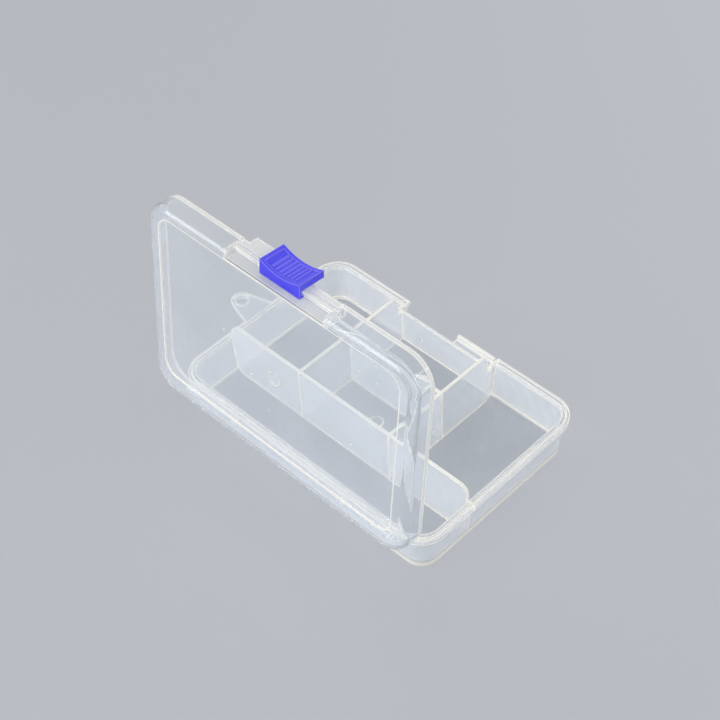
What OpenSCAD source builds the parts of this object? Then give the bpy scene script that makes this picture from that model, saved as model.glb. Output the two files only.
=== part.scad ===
// Flip-lid organizer case: a drafted tray with moulded-in dividers, a lid on two
// rod hinges, and a sliding latch that runs on a rail in the lid's front recess.
// Millimetres, +Z up. The origin is the middle of the tray's resting face.
// X runs along the hinge, the hinge side is at -Y and the latch side at +Y.
// The lid and the latch are drawn closed, and then turned to the open rest pose.

/* [Case] */
// Length of the case over the flange
case_l = 95; // [85:1:130]
// Width of the case over the flange
case_w = 65; // [58:1:90]
// Height of the closed case
case_h = 21; // [20.5:0.5:26]
// Corner radius of the flange
corner_r = 8; // [7.5:0.25:9.5]

/* [Tray] */
// Height of the flange's top face
flange_z = 14; // [13.5:0.25:15]
// Thickness of the flange and of the ear
flange_h = 1.5; // [1.2:0.1:1.8]
// How far the flange stands out from the wall below it
flange_out = 1.3; // [1.1:0.1:1.6]
// Thickness of the tray's walls
wall = 0.9; // [0.8:0.05:1]
// How much a side wall leans in from the flange down to the foot
wall_draft = 1.2; // [0.6:0.1:1.6]
// Thickness of the tray's floor
floor_t = 1; // [0.8:0.1:1.4]
// Width of the sloping foot inside the walls
foot_run = 2.8; // [2:0.2:3.2]
// Height of the sloping foot inside the walls
foot_rise = 1.4; // [1:0.1:1.8]
// Width of the flat ledge outside the lip
ledge = 1; // [0.9:0.05:1.1]
// Height of the lip above the flange
lip_h = 0.6; // [0.4:0.1:0.8]

/* [Dividers] */
// Thickness of the dividers
divider_t = 0.9; // [0.7:0.1:1.2]
// Distance of the long divider from the middle, towards the hinge
long_divider_y = 12.4; // [8:0.2:16]
// Distance of the two cross dividers from the middle
cross_divider_x = 17.3; // [12:0.1:24]
// Distance of the short divider from the middle, towards the latch
short_divider_y = 7.8; // [3:0.2:12]
// Distance of the cross dividers' upper ends from the latch side's flange edge
cross_end_in = 5.3; // [5:0.1:7]
// Corner radius at the top ends of the dividers
divider_end_r = 3; // [1:0.25:4]
// Gap between the dividers and the closed lid
divider_gap = 0.15; // [0.1:0.05:0.5]

/* [Lid] */
// Thickness of the lid's border
lid_t = 1; // [0.9:0.05:1.2]
// Thickness of the lid's side walls
lid_wall = 1; // [0.9:0.05:1.2]
// Thickness of the lid's rim where it fits over the lip
rim_t = 0.6; // [0.5:0.05:0.7]
// Height of that thin rim
rim_h = 0.9; // [0.8:0.05:1.1]
// Gap between the lid's rim and the flange
rim_gap = 0.1; // [0.05:0.05:0.2]
// How far the lid's outside stands in from the flange's edge
lid_inset = 0.1; // [0:0.05:0.3]
// Radius of the lid's rounded outer edge
lid_edge_r = 2.5; // [1.5:0.25:3]
// Distance of the sunk panel from the lid's two ends
panel_inset = 5; // [4:0.25:6]
// Distance of the sunk panel from the lid's latch side
panel_latch_in = 3.4; // [3.3:0.1:5]
// Distance of the sunk panel from the lid's hinge side
panel_hinge_in = 7; // [4:0.25:8]
// Corner radius of the sunk panel
panel_r = 4.5; // [3:0.25:6]
// Depth of the sunk panel
panel_d = 0.3; // [0.15:0.05:0.4]
// Angle of the open lid at rest, from closed
open_a = 84.2; // [0:0.1:180]

/* [Hinge] */
// Distance of the hinge axis outside the flange's edge
hinge_out = 1.7; // [1.7:0.1:2.2]
// Height of the hinge axis above the flange
hinge_up = 0.5; // [0.4:0.05:0.7]
// Radius of the hinge rod
rod_r = 0.8; // [0.6:0.05:0.9]
// Radial clearance of the rod in the knuckle
rod_clear = 0.06; // [0.04:0.01:0.1]
// Outer radius of the knuckle
knuckle_r = 1.4; // [1.3:0.05:1.45]
// Outer radius of the lugs that carry the rod
lug_r = 1.3; // [1.2:0.05:1.4]
// Thickness of a lug
lug_t = 1.6; // [1.2:0.1:2.2]
// Gap between a lug and the knuckle
lug_gap = 0.3; // [0.2:0.05:0.5]
// Distance of a hinge's outer end from the start of the flange's corner
hinge_end = 0; // [0:0.5:6]
// Length of a hinge over its lugs
hinge_l = 20; // [12:0.5:20]
// Width of the mouth that snaps the knuckle on the rod
mouth_w = 1.2; // [0.8:0.05:1.3]
// Thickness of the leaf between the knuckle and the lid
leaf_t = 1.2; // [0.8:0.1:1.4]

/* [Latch recess] */
// Length of the cut-out in the lid and the flange
cut_l = 34.2; // [33:0.2:36]
// Distance of the rail, the tongue and the catch from the flange's edge
rail_in = 0.4; // [0.35:0.05:0.6]
// Thickness of the rail, the tongue and the catch
rail_t = 0.9; // [0.8:0.05:1]
// Height of the rail above the lid's rim
rail_h = 3.9; // [3.6:0.1:4.2]
// How far the tongue and the catch reach below the lid's rim
tongue_h = 2.7; // [2.5:0.05:2.9]
// Distance of the tongue from the cut-out's end
tongue_start = 1.6; // [0.3:0.1:3]
// Distance of the lid's recess wall from the flange's edge
recess_in = 2.9; // [2.8:0.05:3.1]
// Height of the shelf's underside above the lid's rim
shelf_up = 1.5; // [1.2:0.1:1.6]
// Thickness of the lid's shelf
shelf_t = 1; // [0.8:0.1:1.1]
// Distance of the tray's notch wall from the flange's edge
notch_in = 3.2; // [3:0.05:3.4]
// Thickness of the tray's notch wall
notch_t = 0.8; // [0.7:0.05:0.9]
// Start of the catch, from the middle towards +X
catch_x = 2.6; // [1.5:0.1:3.2]
// Length of the catch
catch_l = 13.8; // [10:0.1:14]
// Thickness of the shelf behind the catch
catch_t = 0.8; // [0.6:0.05:0.9]

/* [Slide latch] */
// Length of the slide latch
latch_l = 14; // [12:0.2:16]
// Place of the latch's middle at rest, from the middle of the case
latch_x = 0; // [-1:0.1:0.6]
// How far the latch's ends stand out from the flange's edge
latch_out = 2.05; // [1.6:0.05:2.3]
// Thickness of the latch in its middle
latch_mid_t = 0.65; // [0.6:0.05:0.8]
// Thickness of the latch's legs
leg_t = 0.75; // [0.65:0.05:0.9]
// Gap between the latch and the faces it runs on
latch_gap = 0.15; // [0.1:0.05:0.2]
// Distance of the upper leg's tip from the flange's edge
upper_leg_in = 2.5; // [2.2:0.05:2.6]
// Distance of the lower leg's tip from the flange's edge
lower_leg_in = 2.5; // [2.2:0.05:2.6]
// Height of the upper leg's hook
upper_hook_h = 0.8; // [0.5:0.05:1]
// Height of the lower leg's hook
lower_hook_h = 0.4; // [0.25:0.05:0.45]
// Gap between the latch's lower leg and the catch at rest
catch_gap = 0.6; // [0.4:0.1:1]
// Length of the sunk thumb panel
thumb_l = 12.2; // [10:0.2:12.6]
// Border above and below the thumb panel
thumb_border = 0.95; // [0.7:0.05:1.4]
// Depth of the thumb panel
thumb_d = 0.25; // [0.15:0.05:0.3]
// Number of thumb ribs
rib_n = 7; // [5:1:8]
// Distance between two thumb ribs
rib_pitch = 1.3; // [1.1:0.05:1.35]
// Width of a thumb rib
rib_w = 0.5; // [0.4:0.05:0.7]
// Distance of the ribs' round ends from the panel's upper border
rib_end = 0.6; // [0.3:0.1:1]
// How much lower than the border the ribs stand
rib_drop = 0.06; // [0:0.02:0.1]

/* [Hanging ear] */
// Distance of the hanging hole from the flange's edge
ear_hole_out = 7.3; // [6:0.1:10]
// Radius of the hanging hole
ear_hole_r = 2; // [1.5:0.1:2.4]
// Width of the ring of material around the hole
ear_ring = 1.2; // [1:0.1:2]
// Width of the ear where it meets the flange
ear_base = 11.2; // [9:0.2:16]

/* [Gate marks] */
// Radius of the round gate marks
gate_r = 2; // [1:0.1:2.5]
// Height of the mark on the floor and depth of the mark in the lid
gate_d = 0.25; // [0.15:0.05:0.35]

/* [Hidden] */
$fn = 64;
over = 1;
sink = 0.4;

half_l = case_l / 2;
half_w = case_w / 2;
corner_x = half_l - corner_r;
corner_y = half_w - corner_r;
flange_under = flange_z - flange_h;
wall_r = corner_r - flange_out;
foot_r = wall_r - wall_draft;
draft_slope = wall_draft / flange_under;
inside_r = wall_r - wall;
inside_floor_r = foot_r + draft_slope * floor_t - wall;
inside_foot_r = foot_r + draft_slope * (floor_t + foot_rise) - wall;
lip_r = corner_r - ledge;
lip_top = flange_z + lip_h;

rim_z = flange_z + rim_gap;
lid_r = corner_r - lid_inset;
lid_inside_r = lid_r - lid_wall;
lid_inside_top = case_h - lid_t;
lid_inside_edge_r = lid_edge_r - lid_wall;
divider_top = lid_inside_top - divider_gap;
crown_x = corner_x + inside_r - 0.1;

hinge_y = -half_w - hinge_out;
hinge_z = flange_z + hinge_up;
bore_r = rod_r + rod_clear;
knuckle_l = hinge_l - 2 * lug_t - 2 * lug_gap;
hinge_x = corner_x - hinge_end - hinge_l;
leaf_z = rim_z + 0.1;

cut_half = cut_l / 2;
lip_gap = 0.3;
rail_y = half_w - rail_in - rail_t;
rail_top = rim_z + rail_h;
tongue_z = rim_z - tongue_h;
tongue_gap = 0.5;
shelf_z = rim_z + shelf_up;
recess_y = half_w - recess_in;
recess_back_y = recess_y - lid_wall;
notch_y = half_w - notch_in;
notch_back_y = notch_y - notch_t;
leg_low_z = tongue_z - latch_gap - leg_t;
leg_high_z = rail_top + latch_gap;
catch_top = flange_z;
catch_shelf_z = tongue_z + 0.7;
notch_top = catch_shelf_z + catch_t;
cross_end_y = half_w - cross_end_in;

latch_inner_y = half_w - rail_in + latch_gap;
latch_mid_y = latch_inner_y + latch_mid_t;
latch_end_y = half_w + latch_out;
latch_h = leg_high_z + leg_t - leg_low_z;
latch_sag = latch_end_y - latch_mid_y;
saddle_r = (latch_l * latch_l / 4 + latch_sag * latch_sag) / (2 * latch_sag);
hook_y = rail_y - latch_gap;
lower_leg_l = catch_x - catch_gap - (latch_x - latch_l / 2);

ear_r = ear_hole_r + ear_ring;
ear_x = -half_l - ear_hole_out;
ear_root_x = -half_l + 0.5;
ear_reach = ear_root_x - ear_x;
ear_far = sqrt(ear_reach * ear_reach + ear_base * ear_base / 4);
ear_turn = atan2(ear_base / 2, ear_reach) + acos(ear_r / ear_far);
ear_touch_r = ear_r - 0.05;
ear_touch_x = ear_x + ear_touch_r * cos(ear_turn);
ear_touch_y = ear_touch_r * sin(ear_turn);

clear_plastic = [0.86, 0.89, 0.92, 0.45];
blue_plastic = [0.22, 0.22, 0.92];

// A block with four round corners whose corner radius changes with its height.
module rounded(low_r, high_r, z, h) {
    translate([0, 0, z]) {
        for (sx = [-1, 1])
            for (sy = [-1, 1])
                translate([sx * corner_x, sy * corner_y, 0])
                    cylinder(h = h, r1 = low_r, r2 = high_r);
        rotate([90, 0, 90])
            linear_extrude(height = 2 * corner_x, center = true)
                trapezoid(corner_y + low_r, corner_y + high_r, h);
        rotate([90, 0, 0])
            linear_extrude(height = 2 * corner_y, center = true)
                trapezoid(corner_x + low_r, corner_x + high_r, h);
    }
}

module trapezoid(low, high, h) {
    polygon([[-low, 0], [low, 0], [high, h], [-high, h]]);
}

// A box given by its lowest and its highest corner.
module block(low, high) {
    translate(low)
        cube(high - low);
}

// The outside of a shell with a round upper edge.
module domed(r, edge, z, top) {
    for (sx = [-1, 1])
        for (sy = [-1, 1])
            translate([sx * corner_x, sy * corner_y, 0])
                rotate_extrude()
                    intersection() {
                        dome_section(r, edge, z, top);
                        translate([0, z])
                            square([r, top - z]);
                    }
    rotate([90, 0, 90])
        linear_extrude(height = 2 * corner_x, center = true)
            dome_section(corner_y + r, edge, z, top);
    rotate([90, 0, 0])
        linear_extrude(height = 2 * corner_y, center = true)
            dome_section(corner_x + r, edge, z, top);
}

module dome_section(half, edge, z, top) {
    translate([-half, z])
        square([2 * half, top - edge - z]);
    translate([edge - half, z])
        square([2 * (half - edge), top - z]);
    for (s = [-1, 1])
        translate([s * (half - edge), top - edge])
            circle(r = edge);
}

// The upper part of a divider in the XZ plane, with a round corner at its far end.
module crown(from_x, to_x) {
    low = flange_under - over;
    translate([0, divider_t / 2, 0])
        rotate([90, 0, 0])
            linear_extrude(height = divider_t) {
                translate([from_x, low])
                    square([to_x - from_x, divider_top - divider_end_r - low]);
                translate([from_x, low])
                    square([to_x - from_x - divider_end_r, divider_top - low]);
                translate([to_x - divider_end_r, divider_top - divider_end_r])
                    circle(r = divider_end_r);
            }
}

// The dividers' lower parts, which run on into the leaning walls.
module divider_roots() {
    intersection() {
        union() {
            block([-half_l, -long_divider_y - divider_t / 2, floor_t / 2],
                  [half_l, -long_divider_y + divider_t / 2, flange_z]);
            for (s = [-1, 1])
                block([s * cross_divider_x - divider_t / 2, -long_divider_y, floor_t / 2],
                      [s * cross_divider_x + divider_t / 2, half_w, flange_z]);
        }
        rounded(foot_r - sink, wall_r - sink, 0, flange_under);
    }
}

module dividers() {
    for (m = [0, 1])
        mirror([m, 0, 0]) {
            translate([0, -long_divider_y, 0])
                crown(0, crown_x);
            translate([cross_divider_x, 0, 0])
                rotate([0, 0, 90])
                    crown(-long_divider_y, cross_end_y);
        }
    block([-cross_divider_x, short_divider_y - divider_t / 2, floor_t / 2],
          [cross_divider_x, short_divider_y + divider_t / 2, divider_top]);
}

module tray_shell() {
    difference() {
        union() {
            rounded(foot_r, wall_r, 0, flange_under);
            rounded(corner_r, corner_r, flange_under, flange_h);
            rounded(lip_r, lip_r, flange_z - flange_h / 2, flange_h / 2 + lip_h);
            ear();
        }
        rounded(inside_r, inside_r, flange_under - 0.01, flange_h + lip_h + over);
        rounded(inside_foot_r, inside_r, floor_t + foot_rise,
                flange_under - floor_t - foot_rise);
        rounded(inside_floor_r - foot_run, inside_foot_r, floor_t, foot_rise + 0.01);
    }
}

module ear() {
    translate([0, 0, flange_under])
        linear_extrude(height = flange_h) {
            translate([ear_x, 0])
                circle(r = ear_r);
            polygon([[ear_root_x, -ear_base / 2], [ear_root_x, ear_base / 2],
                     [ear_touch_x, ear_touch_y], [ear_touch_x, -ear_touch_y]]);
        }
}

module notch_block() {
    intersection() {
        block([-cut_half - notch_t, notch_back_y, 0], [cut_half + notch_t, half_w, flange_z]);
        union() {
            rounded(foot_r, wall_r, 0, flange_under);
            rounded(corner_r, corner_r, flange_under, flange_h);
        }
    }
}

module notch_cut() {
    block([-cut_half, notch_y, -over], [cut_half, half_w + over, lip_top + over]);
    block([-cut_half, notch_back_y - over, notch_top],
          [cut_half, half_w + over, lip_top + over]);
    block([-cut_half - lid_wall - lip_gap, notch_back_y - over, flange_z],
          [cut_half + lid_wall + lip_gap, half_w + over, lip_top + over]);
}

module catch() {
    block([catch_x, rail_y, tongue_z], [catch_x + catch_l, rail_y + rail_t, catch_top]);
    block([catch_x, notch_y - notch_t / 2, catch_shelf_z],
          [catch_x + catch_l, rail_y + rail_t / 2, notch_top]);
}

// One rod between two lugs on the tray's flange.
module rod_hinge(x) {
    translate([x, hinge_y, hinge_z])
        rotate([90, 0, 90]) {
            cylinder(h = hinge_l, r = rod_r);
            for (z = [0, hinge_l - lug_t])
                translate([0, 0, z]) {
                    cylinder(h = lug_t, r = lug_r);
                    translate([0, flange_under - hinge_z, 0])
                        cube([hinge_out + flange_out / 2, flange_z - flange_under, lug_t]);
                }
        }
}

module tray() {
    color(clear_plastic)
        difference() {
            union() {
                difference() {
                    union() {
                        tray_shell();
                        notch_block();
                        divider_roots();
                    }
                    notch_cut();
                }
                dividers();
                catch();
                rod_hinge(hinge_x);
                rod_hinge(-hinge_x - hinge_l);
                cylinder(h = floor_t + gate_d, r = gate_r);
            }
            translate([ear_x, 0, flange_under - over])
                cylinder(h = flange_h + 2 * over, r = ear_hole_r);
        }
}

module lid_shell() {
    difference() {
        union() {
            difference() {
                domed(lid_r, lid_edge_r, rim_z, case_h);
                domed(lid_inside_r, lid_inside_edge_r, rim_z - over, lid_inside_top);
                rounded(lid_r - rim_t, lid_r - rim_t, rim_z - over, rim_h + over);
            }
            intersection() {
                domed(lid_r, lid_edge_r, rim_z, case_h);
                block([-cut_half - lid_wall, recess_back_y, rim_z],
                      [cut_half + lid_wall, half_w, case_h]);
            }
        }
        block([-cut_half, recess_y, rim_z - over], [cut_half, half_w + over, case_h + over]);
        block([-cut_half, recess_back_y - over, rim_z - over],
              [cut_half, half_w + over, shelf_z]);
        panel_cut();
        translate([0, 0, case_h - panel_d - gate_d])
            cylinder(h = over, r = gate_r);
    }
}

module panel_cut() {
    panel_x = half_l - lid_inset - panel_inset;
    to_latch = half_w - lid_inset - panel_latch_in;
    to_hinge = half_w - lid_inset - panel_hinge_in;
    translate([0, (to_latch - to_hinge) / 2, case_h - panel_d])
        linear_extrude(height = over) {
            square([2 * panel_x, to_latch + to_hinge - 2 * panel_r], center = true);
            square([2 * (panel_x - panel_r), to_latch + to_hinge], center = true);
            for (sx = [-1, 1])
                for (sy = [-1, 1])
                    translate([sx * (panel_x - panel_r),
                               sy * ((to_latch + to_hinge) / 2 - panel_r)])
                        circle(r = panel_r);
        }
}

module lid_rail() {
    block([-cut_half - lid_wall / 2, rail_y, rim_z],
          [cut_half + lid_wall / 2, rail_y + rail_t, rail_top]);
    block([-cut_half - lid_wall / 2, recess_back_y, shelf_z],
          [cut_half + lid_wall / 2, rail_y + rail_t, shelf_z + shelf_t]);
    block([tongue_start - cut_half, rail_y, tongue_z],
          [catch_x - tongue_gap, rail_y + rail_t, shelf_z]);
}

// A split knuckle and its leaf, which reaches the lid's wall over the flange.
module knuckle(x) {
    translate([x, hinge_y, hinge_z])
        rotate([90, 0, 90])
            difference() {
                union() {
                    cylinder(h = knuckle_l, r = knuckle_r);
                    translate([0, leaf_z - hinge_z, 0])
                        cube([hinge_out + lid_inset + lid_wall / 2, leaf_t, knuckle_l]);
                }
                translate([0, 0, -over])
                    cylinder(h = knuckle_l + 2 * over, r = bore_r);
                translate([-knuckle_r - over, -mouth_w / 2, -over])
                    cube([knuckle_r + over, mouth_w, knuckle_l + 2 * over]);
            }
}

module closed_lid() {
    lid_shell();
    lid_rail();
    knuckle(hinge_x + lug_t + lug_gap);
    knuckle(-hinge_x - hinge_l + lug_t + lug_gap);
}

module saddle(extra) {
    translate([latch_x, latch_mid_y + saddle_r, leg_low_z - over])
        cylinder(h = latch_h + 2 * over, r = saddle_r + extra, $fn = 128);
}

module thumb_panel() {
    low = leg_low_z + thumb_border;
    high = leg_low_z + latch_h - thumb_border;
    difference() {
        intersection() {
            saddle(thumb_d);
            block([latch_x - thumb_l / 2, latch_inner_y, low],
                  [latch_x + thumb_l / 2, latch_end_y + over, high]);
        }
        difference() {
            for (i = [0 : rib_n - 1])
                thumb_rib(latch_x + (i - (rib_n - 1) / 2) * rib_pitch, low, high - rib_end);
            saddle(rib_drop);
        }
    }
}

// A rib with a round upper end, as high as the latch is deep.
module thumb_rib(x, low, high) {
    block([x - rib_w / 2, latch_inner_y, low - over],
          [x + rib_w / 2, latch_end_y, high - rib_w / 2]);
    translate([x, latch_inner_y, high - rib_w / 2])
        rotate([-90, 0, 0])
            cylinder(h = latch_end_y - latch_inner_y, r = rib_w / 2);
}

module closed_latch() {
    start = latch_x - latch_l / 2;
    upper_y = half_w - upper_leg_in;
    lower_y = half_w - lower_leg_in;
    difference() {
        block([start, latch_inner_y, leg_low_z],
              [start + latch_l, latch_end_y, leg_low_z + latch_h]);
        saddle(0);
        thumb_panel();
    }
    block([start, upper_y, leg_high_z], [start + latch_l, latch_inner_y, leg_high_z + leg_t]);
    block([start, upper_y, leg_high_z - upper_hook_h], [start + latch_l, hook_y, leg_high_z]);
    block([start, lower_y, leg_low_z],
          [start + lower_leg_l, latch_inner_y, leg_low_z + leg_t]);
    block([start, lower_y, leg_low_z + leg_t],
          [start + lower_leg_l, hook_y, leg_low_z + leg_t + lower_hook_h]);
}

module opened() {
    translate([0, hinge_y, hinge_z])
        rotate([open_a, 0, 0])
            translate([0, -hinge_y, -hinge_z])
                children();
}

module lid() {
    color(clear_plastic)
        opened()
            closed_lid();
}

module slide_latch() {
    color(blue_plastic)
        opened()
            closed_latch();
}

tray();
lid();
slide_latch();
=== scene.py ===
import math

import bpy
from mathutils import Matrix, Vector


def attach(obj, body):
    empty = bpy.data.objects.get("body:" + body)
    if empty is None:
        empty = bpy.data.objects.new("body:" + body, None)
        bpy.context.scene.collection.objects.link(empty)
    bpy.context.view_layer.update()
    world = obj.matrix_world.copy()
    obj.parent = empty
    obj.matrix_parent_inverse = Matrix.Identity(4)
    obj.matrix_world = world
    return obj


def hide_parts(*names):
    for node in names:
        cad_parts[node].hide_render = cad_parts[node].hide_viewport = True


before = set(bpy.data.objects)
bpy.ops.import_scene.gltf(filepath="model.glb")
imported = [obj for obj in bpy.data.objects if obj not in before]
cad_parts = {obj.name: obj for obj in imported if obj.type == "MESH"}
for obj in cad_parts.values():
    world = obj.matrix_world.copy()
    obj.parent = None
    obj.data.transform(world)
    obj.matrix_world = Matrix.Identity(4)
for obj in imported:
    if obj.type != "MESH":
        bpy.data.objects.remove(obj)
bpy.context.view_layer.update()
mm = 0.001

print("frame loaded")


def linearColor(hexText):
    # sRGB hex to the linear values that the shaders work in
    def channel(value):
        return value / 12.92 if value <= 0.04045 else ((value + 0.055) / 1.055) ** 2.4
    return tuple(channel(int(hexText[i:i + 2], 16) / 255) for i in (1, 3, 5)) + (1.0,)


def pickOnly(piece):
    if bpy.context.object and bpy.context.object.mode != "OBJECT":
        bpy.ops.object.mode_set(mode="OBJECT")
    bpy.ops.object.select_all(action="DESELECT")
    piece.select_set(True)
    bpy.context.view_layer.objects.active = piece


def applyModifier(piece, kind, **settings):
    pickOnly(piece)
    modifier = piece.modifiers.new(kind.title(), kind)
    for name, value in settings.items():
        setattr(modifier, name, value)
    bpy.ops.object.modifier_apply(modifier=modifier.name)


def addNode(material, kind, inputs=None, **settings):
    # one node, with its settings, and each input either linked or set
    node = material.node_tree.nodes.new("ShaderNode" + kind)
    for name, value in settings.items():
        setattr(node, name, value)
    for name, value in (inputs or {}).items():
        if isinstance(value, bpy.types.NodeSocket):
            material.node_tree.links.new(value, node.inputs[name])
        else:
            node.inputs[name].default_value = value
    return node


def newMaterial(name, plain, linked):
    # a Principled surface: plain values go on its own sockets, the rest are links
    material = bpy.data.materials.new(name)
    material.use_nodes = True
    shader = material.node_tree.nodes["Principled BSDF"]
    for socket, value in plain.items():
        shader.inputs[socket].default_value = value
    for socket, output in (linked(material) if linked else {}).items():
        material.node_tree.links.new(output, shader.inputs[socket])
    return material


clearPlastic = {
    "wallColor": "#F8FBFF",      # cold grey-white of a thin clear wall
    "paintedGlowAndScuffColor": "#FFFCF3",      # cream white: painted glow where cut edges gather the light, also the tint of scratches and specks
    "ior": 1.49,
    "clear": 0.93,               # share of the light that a clean wall lets straight on
    "milky": 0.08,               # how much the clouds of the melt take from that
    "cloudLow": 0.35,
    "cloudHigh": 0.75,
    "ringShare": 0.07,           # how much the flow rings add to the clouds
    "edgeClear": 0.15,
    "edgeStart": 0.997,          # cosine of the rounded normal's lean where the painted edge glow starts
    "edgeFull": 0.965,
    "edgeShow": 1.0,
    "shadowLet": 0.95,           # share of lamp light that goes on through one surface
    "roomLet": 0.70,             # and of the light that the room and the table send
    "glossLow": 0.015,
    "glossHigh": 0.05,
    "smudgeLow": 0.35,
    "smudgeHigh": 0.7,
    "edgeRough": 0.30,
    "cloudSize": 26 * mm,        # cloudy flow of the melt
    "smudgeSize": 8 * mm,        # handling marks
    "sinkSize": 6 * mm,          # slight sink of the thin walls
    "sinkStrength": 0.1,
    "sinkDepth": 0.04 * mm,
    "ringStep": 3.5 * mm,        # faint flow rings round the gate
    "waveUnit": 0.31,            # length of one ring of the wave pattern at scale 1
    "scratchSize": 0.8 * mm,
    "scratchTurn": (0.3, 0.5, 0.4),
    "scratchStretch": (0.1, 1.0, 1.0),
    "scratchLow": 0.68,
    "scratchHigh": 0.74,
    "scratchShare": 0.05,
    "scratchDepth": 0.1,
    "speckSize": 0.7 * mm,       # dust nibs and pinprick scuffs
    "speckSpacing": 6,           # in speck sizes, as is the size of a patch with specks
    "speckPatch": 14,
    "speckLow": 0.56,
    "speckHigh": 0.72,
    "speckRadius": 0.09,         # largest, as a share of the spacing
}


def paintedEdgeLightMask(material, reach, settings):
    # painted light along broken edges, where the rounded normal leans away, and on thin faces
    rounded = addNode(material, "Bevel", {"Radius": reach}, samples=8).outputs["Normal"]
    flat = addNode(material, "NewGeometry").outputs["Normal"]
    facing = addNode(material, "VectorMath", {0: rounded, 1: flat},
                     operation="DOT_PRODUCT").outputs["Value"]
    corner = addNode(material, "MapRange", {
        "Value": facing, "From Min": settings["edgeStart"],
        "From Max": settings["edgeFull"],
        "To Min": 0.0, "To Max": settings["edgeShow"]}).outputs["Result"]
    narrow = addNode(material, "Attribute", attribute_name="paintedGlowFace").outputs["Fac"]
    return addNode(material, "Math", {0: corner, 1: narrow},
                   operation="MAXIMUM").outputs["Value"]


def paintedPanelHighlight(material, place, up, panel):
    # a painted highlight line round a sunk panel, where its step turns the light out
    fromMiddle = addNode(material, "VectorMath", {0: place, 1: panel["middle"]},
                         operation="SUBTRACT").outputs["Vector"]
    distance = {}
    for name, axis in (("length", (1, 0, 0)), ("width", panel["across"]), ("depth", up)):
        signed = addNode(material, "VectorMath", {0: fromMiddle, 1: axis},
                         operation="DOT_PRODUCT").outputs["Value"]
        distance[name] = addNode(material, "Math", {0: signed},
                                 operation="ABSOLUTE").outputs["Value"]
    past = {}
    for name, half in (("length", panel["halfLength"]), ("width", panel["halfWidth"])):
        beyond = addNode(material, "Math", {
            0: distance[name], 1: half - panel["radius"]},
            operation="SUBTRACT").outputs["Value"]
        past[name] = addNode(material, "Math", {0: beyond, 1: 0.0},
                             operation="MAXIMUM").outputs["Value"]
    corner = addNode(material, "CombineXYZ", {
        "X": past["length"], "Y": past["width"]}).outputs["Vector"]
    reach = addNode(material, "VectorMath", {0: corner},
                    operation="LENGTH").outputs["Value"]
    offLine = addNode(material, "Math", {
        0: reach, 1: panel["radius"] + panel["lineOut"]},
        operation="SUBTRACT").outputs["Value"]
    away = addNode(material, "Math", {0: offLine}, operation="ABSOLUTE").outputs["Value"]
    line = addNode(material, "MapRange", {
        "Value": away, "From Min": panel["lineHalf"],
        "From Max": panel["lineCore"] * panel["lineHalf"],
        "To Min": 0.0, "To Max": panel["paintedGlow"]}).outputs["Result"]
    near = addNode(material, "Math", {0: distance["depth"], 1: panel["depth"]},
                   operation="LESS_THAN").outputs["Value"]
    return addNode(material, "Math", {0: line, 1: near},
                   operation="MULTIPLY").outputs["Value"]


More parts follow.
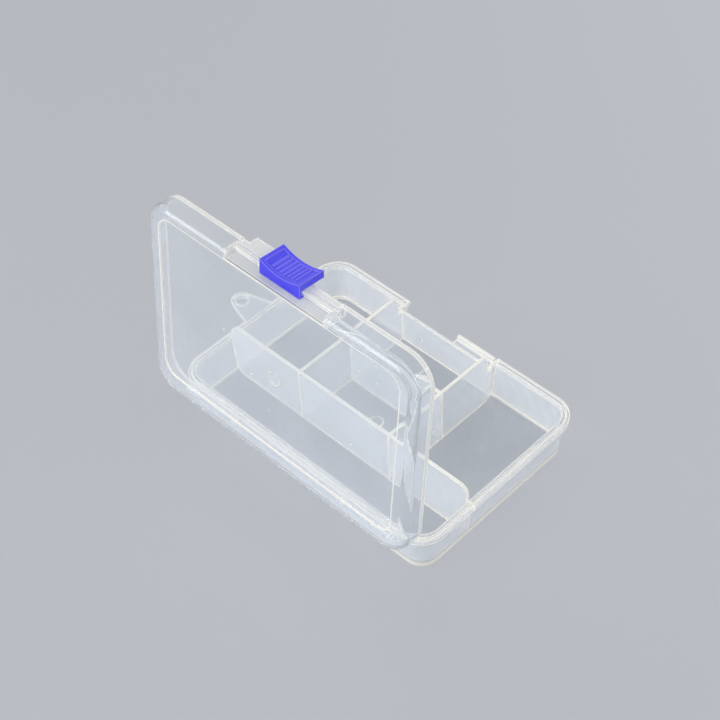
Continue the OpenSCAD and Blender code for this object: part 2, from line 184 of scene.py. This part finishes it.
def clearPolypropylene(name, piece, settings):
    # Polypropylene, natural, injection moulded in a polished mould: clear but a little
    # milky, glossy on the flats, with a painted cream glow on edges and thin walls for the
    # light they pipe out, faint flow rings round the gate, fine scratches and a few specks.
    def surface(material):
        place = addNode(material, "TexCoord").outputs["Object"]
        paintedEdgeLight = paintedEdgeLightMask(material, piece["paintedGlowReach"], settings)
        if piece["panel"]:
            paintedEdgeLight = addNode(material, "Math", {
                0: paintedEdgeLight, 1: paintedPanelHighlight(material, place, piece["up"], piece["panel"])},
                operation="MAXIMUM").outputs["Value"]

        cloud = addNode(material, "TexNoise", {
            "Vector": place, "Scale": 1 / settings["cloudSize"],
            "Detail": 3.0}).outputs["Fac"]
        smudge = addNode(material, "TexNoise", {
            "Vector": place, "Scale": 1 / settings["smudgeSize"],
            "Detail": 3.0}).outputs["Fac"]
        sink = addNode(material, "TexNoise", {
            "Vector": place, "Scale": 1 / settings["sinkSize"],
            "Detail": 1.0}).outputs["Fac"]
        fromGate = addNode(material, "Mapping", {
            "Vector": place, "Location": tuple(-c for c in piece["gate"])}).outputs["Vector"]
        rings = addNode(material, "TexWave", {
            "Vector": fromGate, "Scale": settings["waveUnit"] / settings["ringStep"],
            "Distortion": 6.0, "Detail": 2.0, "Detail Scale": 1.5},
            wave_type="RINGS", rings_direction="SPHERICAL").outputs["Fac"]
        streaked = addNode(material, "Mapping", {
            "Vector": place, "Rotation": settings["scratchTurn"],
            "Scale": settings["scratchStretch"]}).outputs["Vector"]
        fine = addNode(material, "TexNoise", {
            "Vector": streaked, "Scale": 1 / settings["scratchSize"], "Detail": 4.0,
            "Roughness": 0.6}).outputs["Fac"]
        scratch = addNode(material, "MapRange", {
            "Value": fine, "From Min": settings["scratchLow"],
            "From Max": settings["scratchHigh"],
            "To Min": 0.0, "To Max": 1.0}).outputs["Result"]
        nib = addNode(material, "TexVoronoi", {
            "Vector": place,
            "Scale": 1 / (settings["speckSpacing"] * settings["speckSize"])
        }).outputs["Distance"]
        chance = addNode(material, "TexNoise", {
            "Vector": place,
            "Scale": 1 / (settings["speckPatch"] * settings["speckSize"]),
            "Detail": 2.0}).outputs["Fac"]
        nibSize = addNode(material, "MapRange", {
            "Value": chance, "From Min": settings["speckLow"],
            "From Max": settings["speckHigh"],
            "To Min": 0.0, "To Max": settings["speckRadius"]}).outputs["Result"]
        speck = addNode(material, "Math", {0: nib, 1: nibSize},
                        operation="LESS_THAN").outputs["Value"]

        uprightMilk = addNode(material, "Attribute", attribute_name="uprightMilkFace").outputs["Fac"]
        cloudy = addNode(material, "Math", {
            0: rings, 1: settings["ringShare"], 2: cloud},
            operation="MULTIPLY_ADD").outputs["Value"]
        melt = addNode(material, "MapRange", {
            "Value": cloudy, "From Min": settings["cloudLow"],
            "From Max": settings["cloudHigh"],
            "To Min": settings["clear"],
            "To Max": settings["clear"] - settings["milky"]}).outputs["Result"]
        # upright faces are made less clear, so milkier and lighter, than flat ones
        through = addNode(material, "Math", {0: melt, 1: uprightMilk},
                          operation="SUBTRACT").outputs["Value"]
        marks = addNode(material, "Math", {
            0: scratch, 1: settings["scratchShare"], 2: speck},
            operation="MULTIPLY_ADD").outputs["Value"]
        # real scratches and specks, together with the painted glow of edges and thin faces
        scuffsAndPaintedGlow = addNode(material, "Math", {0: marks, 1: paintedEdgeLight},
                         operation="MAXIMUM", use_clamp=True).outputs["Value"]
        clear = addNode(material, "MapRange", {
            "Value": scuffsAndPaintedGlow, "From Min": 0.0, "From Max": 1.0,
            "To Min": through, "To Max": settings["edgeClear"]}).outputs["Result"]

        # the painted glow turns edges cream white, as do scratches and specks
        color = addNode(material, "Mix", {
            0: scuffsAndPaintedGlow, 6: linearColor(settings["wallColor"]),
            7: linearColor(settings["paintedGlowAndScuffColor"])}, data_type="RGBA").outputs[2]
        gloss = addNode(material, "MapRange", {
            "Value": smudge, "From Min": settings["smudgeLow"],
            "From Max": settings["smudgeHigh"],
            "To Min": settings["glossLow"],
            "To Max": settings["glossHigh"]}).outputs["Result"]
        rough = addNode(material, "MapRange", {
            "Value": scuffsAndPaintedGlow, "From Min": 0.0, "From Max": 1.0,
            "To Min": gloss, "To Max": settings["edgeRough"]}).outputs["Result"]
        worn = addNode(material, "Math", {
            0: scratch, 1: -settings["scratchDepth"], 2: sink},
            operation="MULTIPLY_ADD").outputs["Value"]
        bump = addNode(material, "Bump", {
            "Strength": settings["sinkStrength"], "Distance": settings["sinkDepth"],
            "Height": worn}).outputs["Normal"]
        # most light from the lamps and the room goes on through, so that the walls
        # cast the weak shadow of clear plastic
        ray = addNode(material, "LightPath").outputs
        fromRoom = addNode(material, "Math", {
            0: ray["Is Diffuse Ray"], 1: -settings["roomLet"], 2: 1.0},
            operation="MULTIPLY_ADD").outputs["Value"]
        solid = addNode(material, "Math", {
            0: ray["Is Shadow Ray"], 1: -settings["shadowLet"], 2: fromRoom},
            operation="MULTIPLY_ADD").outputs["Value"]
        return {"Base Color": color, "Roughness": rough, "Alpha": solid,
                "Transmission Weight": clear, "Normal": bump}

    return newMaterial(name, {"IOR": settings["ior"]}, surface)


bluePlastic = {
    "color": "#5450FB",
    "deepColor": "#4440EC",
    "paintedHighlightColor": "#958DFF",
    "ior": 1.49,
    "roughLow": 0.20,
    "roughHigh": 0.32,
    "edgeWidth": 0.42 * mm,
    "edgeStart": 0.995,          # cosine of the rounded normal's lean where the painted edge highlight starts
    "edgeFull": 0.95,
    "edgeShow": 0.75,
    "grainSize": 0.3 * mm,       # spark-eroded mould grain, drawn a little coarse to show
    "grainStrength": 0.25,
    "grainDepth": 0.02 * mm,
    "cloudSize": 5 * mm,
    "cloudLow": 0.3,
    "cloudHigh": 0.7,
}


def bluePolypropylene(name, settings):
    # Polypropylene with an opaque royal blue dye, injection moulded: satin, with a fine
    # mould grain, and a painted highlight, lighter, along the edges and on the ribs.
    def surface(material):
        place = addNode(material, "TexCoord").outputs["Object"]
        cloud = addNode(material, "TexNoise", {
            "Vector": place, "Scale": 1 / settings["cloudSize"],
            "Detail": 3.0}).outputs["Fac"]
        grain = addNode(material, "TexNoise", {
            "Vector": place, "Scale": 1 / settings["grainSize"],
            "Detail": 2.0}).outputs["Fac"]
        paintedEdgeLight = paintedEdgeLightMask(material, settings["edgeWidth"], settings)
        body = addNode(material, "Mix", {
            0: cloud, 6: linearColor(settings["deepColor"]),
            7: linearColor(settings["color"])}, data_type="RGBA").outputs[2]
        # painted highlight: edges and ribs lighter
        color = addNode(material, "Mix", {
            0: paintedEdgeLight, 6: body, 7: linearColor(settings["paintedHighlightColor"])},
            data_type="RGBA").outputs[2]
        rough = addNode(material, "MapRange", {
            "Value": cloud, "From Min": settings["cloudLow"],
            "From Max": settings["cloudHigh"],
            "To Min": settings["roughLow"],
            "To Max": settings["roughHigh"]}).outputs["Result"]
        bump = addNode(material, "Bump", {
            "Strength": settings["grainStrength"], "Distance": settings["grainDepth"],
            "Height": grain}).outputs["Normal"]
        return {"Base Color": color, "Roughness": rough, "Normal": bump}

    return newMaterial(name, {"IOR": settings["ior"]}, surface)


slantLimit = 0.5         # a painted glow band lies on faces that lean less than this sine
stripShape = 32          # rim squared over area: 16 for a square, more for a strip
cutThreshold = 0.001 * mm


def isInStripe(face, half, middle, across, along, reach):
    # true where the face lies in a band of the stripe's width and length, and isn't
    # square to it
    place = face.center - Vector(middle)
    return (abs(place.dot(Vector(across))) < half and abs(place.dot(Vector(along))) < reach
            and abs(face.normal.dot(Vector(across))) < slantLimit)


def isFootBand(face, band, inner):
    # true low on an upright face, and if so asked only on the outside of the outer wall
    x, y, z = face.center
    outside = (max(abs(x) - inner[0], abs(y) - inner[1]) > 0
               and face.normal.dot(face.center) > 0)
    return (z < band["top"] and abs(face.normal.z) < slantLimit
            and (outside or not band["outsideOnly"]))


def smoothStretches(mesh, angle):
    # the smooth stretch that each face belongs to, and the faces beside each edge
    home = list(range(len(mesh.polygons)))

    def chief(face):
        while home[face] != face:
            home[face] = home[home[face]]
            face = home[face]
        return face

    beside = {}
    for face in mesh.polygons:
        for key in face.edge_keys:
            beside.setdefault(key, []).append(face.index)
    smooth = math.cos(math.radians(angle))
    for faces in beside.values():
        if len(faces) == 2:
            one, two = (mesh.polygons[f] for f in faces)
            if one.normal.dot(two.normal) > smooth:
                home[chief(one.index)] = chief(two.index)
    return [chief(face) for face in range(len(home))], beside


def markPaintedGlowFaces(piece, settings):
    # how much painted glow each face gets for the width of its stretch and for the bands it
    # lies in, and how much milkier it is made for standing upright
    mesh = piece.data
    up = Vector(settings["up"])
    home, beside = smoothStretches(mesh, settings["sameSurface"])
    area, rim = {}, {}
    for face in mesh.polygons:
        area[home[face.index]] = area.get(home[face.index], 0.0) + face.area
    for key, faces in beside.items():
        length = (mesh.vertices[key[0]].co - mesh.vertices[key[1]].co).length
        if len({home[f] for f in faces}) > 1:
            for f in faces:
                rim[home[f]] = rim.get(home[f], 0.0) + length
    mark = mesh.attributes.new("paintedGlowFace", "FLOAT", "FACE")
    uprightMilk = mesh.attributes.new("uprightMilkFace", "FLOAT", "FACE")
    for face in mesh.polygons:
        stretch = home[face.index]
        width = 2 * area[stretch] / rim[stretch] if stretch in rim else settings["broad"]
        width *= 1 + settings["flatCount"] * abs(face.normal.dot(up))
        share = (settings["broad"] - width) / (settings["broad"] - settings["thin"])
        isStrip = rim.get(stretch, 0.0) ** 2 > stripShape * area[stretch]
        # painted glow on thin strips, then on the foot bands and divider stripes
        paintedGlow = settings["thinPaintedGlow"] * min(max(share, 0.0), 1.0) if isStrip else 0.0
        for band in settings["footBands"]:
            if isFootBand(face, band, settings["wallInside"]):
                paintedGlow = max(paintedGlow, band["paintedGlow"])
        if any(isInStripe(face, settings["stripeHalf"], *stripe)
               for stripe in settings["stripes"]):
            paintedGlow = max(paintedGlow, settings["stripePaintedGlow"])
        mark.data[face.index].value = paintedGlow
        # milkier the more upright the face stands
        uprightMilk.data[face.index].value = settings["uprightMilk"] * (1 - abs(face.normal.dot(up)))


def cutThrough(place, normal):
    # a flat cut through the mesh in edit mode, which keeps its form
    bpy.ops.mesh.select_all(action="SELECT")
    bpy.ops.mesh.bisect(plane_co=place, plane_no=normal, threshold=cutThreshold)


def mouldedPiece(node, name, material, settings):
    # the node's own form, with merged corners, one face for each flat and broken edges
    piece = bpy.data.objects.new(name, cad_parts[node].data.copy())
    bpy.context.scene.collection.objects.link(piece)
    pickOnly(piece)
    bpy.ops.object.mode_set(mode="EDIT")
    bpy.ops.mesh.select_all(action="SELECT")
    bpy.ops.mesh.remove_doubles(threshold=settings["merge"])
    bpy.ops.mesh.dissolve_limited(angle_limit=math.radians(settings["flatAngle"]))
    bpy.ops.object.mode_set(mode="OBJECT")
    applyModifier(piece, "BEVEL", width=settings["edgeBreak"], segments=settings["segments"],
                  limit_method="ANGLE", angle_limit=math.radians(settings["sharpAngle"]),
                  use_clamp_overlap=True, harden_normals=False)
    bpy.ops.object.mode_set(mode="EDIT")
    for middle, across, along, reach in settings["stripes"]:
        half = settings["stripeHalf"]
        for normal, step in ((across, -half), (across, half), (along, -reach), (along, reach)):
            cutThrough(Vector(middle) + step * Vector(normal), normal)
    for band in settings["footBands"]:
        cutThrough((0, 0, band["top"]), (0, 0, 1))
    bpy.ops.object.mode_set(mode="OBJECT")
    applyModifier(piece, "TRIANGULATE")
    markPaintedGlowFaces(piece, settings)
    bpy.ops.object.shade_smooth_by_angle(angle=math.radians(settings["smoothAngle"]))
    applyModifier(piece, "WEIGHTED_NORMAL", mode="FACE_AREA", keep_sharp=True)
    piece.data.materials.clear()
    piece.data.materials.append(material)
    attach(piece, node)
    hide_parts(node)
    print(name, len(piece.data.polygons), "triangles")


moulding = {
    "merge": 0.002 * mm,
    "flatAngle": 0.3,            # degrees, as are the next three
    "sharpAngle": 28,
    "smoothAngle": 30,
    "sameSurface": 20,
    "segments": 2,
    "flatCount": 0,              # how much wider a face square to up counts
    "uprightMilk": 0.0,
    "up": (0, 0, 1),
    "panel": None,
    "footBands": (),
    "stripes": (),
}
tray = {
    **moulding,
    "edgeBreak": 0.14 * mm,
    "paintedGlowReach": 0.62 * mm,       # how far the painted edge glow reaches
    "thin": 0.9 * mm,
    "broad": 1.15 * mm,
    "thinPaintedGlow": 0.8,
    "uprightMilk": 0.22,
    "gate": (0, 0, 1 * mm),
    # painted glow bands at the foot, and the half sizes inside which no outer wall lies
    "wallInside": (43.5 * mm, 28.5 * mm),
    "footBands": (
        {"top": 1.55 * mm, "outsideOnly": False, "paintedGlow": 0.7},
        {"top": 1.95 * mm, "outsideOnly": True, "paintedGlow": 1.0},
        {"top": 3.7 * mm, "outsideOnly": True, "paintedGlow": 0.35},
    ),
    # painted glow stripes where each divider grows from a wall: middle, across, along, reach
    "stripeHalf": 0.42 * mm,
    "stripePaintedGlow": 0.85,
    "stripes": (
        ((0, -12.4 * mm, 0), (0, 1, 0), (1, 0, 0), 48 * mm),
        ((-17.3 * mm, 10 * mm, 0), (1, 0, 0), (0, 1, 0), 23 * mm),
        ((17.3 * mm, 10 * mm, 0), (1, 0, 0), (0, 1, 0), 23 * mm),
        ((0, 7.8 * mm, 0), (0, 1, 0), (1, 0, 0), 17.9 * mm),
    ),
}
lidOpen = math.radians(84.2)     # from closed, at rest
lid = {
    **moulding,
    "edgeBreak": 0.12 * mm,
    "paintedGlowReach": 0.4 * mm,
    "thin": 3.4 * mm,
    "broad": 3.9 * mm,
    "thinPaintedGlow": 0.7,
    "flatCount": 4,
    "up": (0, -math.sin(lidOpen), math.cos(lidOpen)),
    "gate": (0, -36.9 * mm, 49.2 * mm),
    "panel": {
        "middle": (0, -37.03 * mm, 50.97 * mm),
        "across": (0, math.cos(lidOpen), math.sin(lidOpen)),
        "halfLength": 42.4 * mm,
        "halfWidth": 27.2 * mm,
        "radius": 4.5 * mm,
        "lineOut": 0.15 * mm,    # from the panel's outline to the middle of the line
        "lineHalf": 0.3 * mm,
        "lineCore": 0.6,         # share of the half width that is fully bright
        "depth": 0.5 * mm,       # the line stays this near to the panel's face
        "paintedGlow": 1.0,
    },
}
latch = {
    **moulding,
    "merge": 0.045 * mm,
    "edgeBreak": 0.08 * mm,
    "thin": 0.3 * mm,
    "broad": 0.6 * mm,
    "thinPaintedGlow": 0.45,
}

mouldedPiece("tray", "trayMoulding",
             clearPolypropylene("clearPolypropyleneTray", tray, clearPlastic),
             tray)
mouldedPiece("lid", "lidMoulding",
             clearPolypropylene("clearPolypropyleneLid", lid, clearPlastic),
             lid)
mouldedPiece("slide_latch", "latchMoulding",
             bluePolypropylene("bluePolypropyleneLatch", bluePlastic),
             latch)
print("mouldings made")


studio = {
    "floorSize": 6.0,
    "floorColor": "#B9BDC3",
    "floorRoughness": 0.6,
    "roomColor": "#FFFFFF",
    "roomLight": 0.64,
    # each softbox: name, place, target, width, height, watts
    "softboxes": (
        ("keySoftbox", (-0.35, -0.75, 0.35), (0.0, 0.0, 0.02), 0.6, 0.6, 3.5),
        ("backSoftbox", (0.1, 0.75, 0.5), (0.0, 0.0, 0.02), 1.4, 0.2, 2.4),
        ("fillSoftbox", (0.75, 0.1, 0.4), (0.0, 0.0, 0.03), 0.3, 0.4, 0.9),
    ),
}


def makeTable(settings):
    bpy.ops.object.select_all(action="DESELECT")
    bpy.ops.mesh.primitive_plane_add(size=settings["floorSize"], location=(0, 0, 0))
    table = bpy.context.object
    table.name = "paleTable"
    table.data.materials.append(newMaterial("paleTableTop", {
        "Base Color": linearColor(settings["floorColor"]),
        "Roughness": settings["floorRoughness"]}, None))


def makeRoom(settings):
    world = bpy.data.worlds.new("softRoom")
    bpy.context.scene.world = world
    world.use_nodes = True
    background = world.node_tree.nodes["Background"]
    background.inputs["Color"].default_value = linearColor(settings["roomColor"])
    background.inputs["Strength"].default_value = settings["roomLight"]


def addSoftbox(name, place, target, width, height, watts):
    light = bpy.data.lights.new(name, "AREA")
    light.shape = "RECTANGLE"
    light.size, light.size_y, light.energy = width, height, watts
    lamp = bpy.data.objects.new(name, light)
    lamp.location = place
    lamp.rotation_mode = "QUATERNION"
    lamp.rotation_quaternion = (Vector(target) - Vector(place)).to_track_quat("-Z", "Y")
    bpy.context.scene.collection.objects.link(lamp)


view = {
    "place": (221.97 * mm, -220.9 * mm, 363.4 * mm),
    "azimuth": 45.91,
    "elevation": 47.04,
    "roll": -2.73,
    "lens": 83.37,
    "sensor": 36.0,
    "nearest": 0.02,
    "farthest": 20.0,
}


def makeCamera(settings):
    # the angle, distance and lens worked out from the picture's own perspective
    a, e = math.radians(settings["azimuth"]), math.radians(settings["elevation"])
    forward = Vector((-math.sin(a) * math.cos(e), math.cos(a) * math.cos(e), -math.sin(e)))
    right = Vector((math.cos(a), math.sin(a), 0.0))
    up = right.cross(forward)
    roll = math.radians(settings["roll"])
    right, up = (math.cos(roll) * right + math.sin(roll) * up,
                 math.cos(roll) * up - math.sin(roll) * right)
    camera = bpy.data.objects.new("viewCamera", bpy.data.cameras.new("viewCamera"))
    camera.data.lens = settings["lens"]
    camera.data.sensor_width = settings["sensor"]
    camera.data.clip_start = settings["nearest"]
    camera.data.clip_end = settings["farthest"]
    turn = Matrix((right, up, -forward)).transposed().to_4x4()
    camera.matrix_world = Matrix.Translation(settings["place"]) @ turn
    bpy.context.scene.collection.objects.link(camera)
    bpy.context.scene.camera = camera


makeTable(studio)
makeRoom(studio)
for box in studio["softboxes"]:
    addSoftbox(*box)
makeCamera(view)
bpy.context.scene.view_settings.view_transform = "Standard"
print("table, light and camera made")
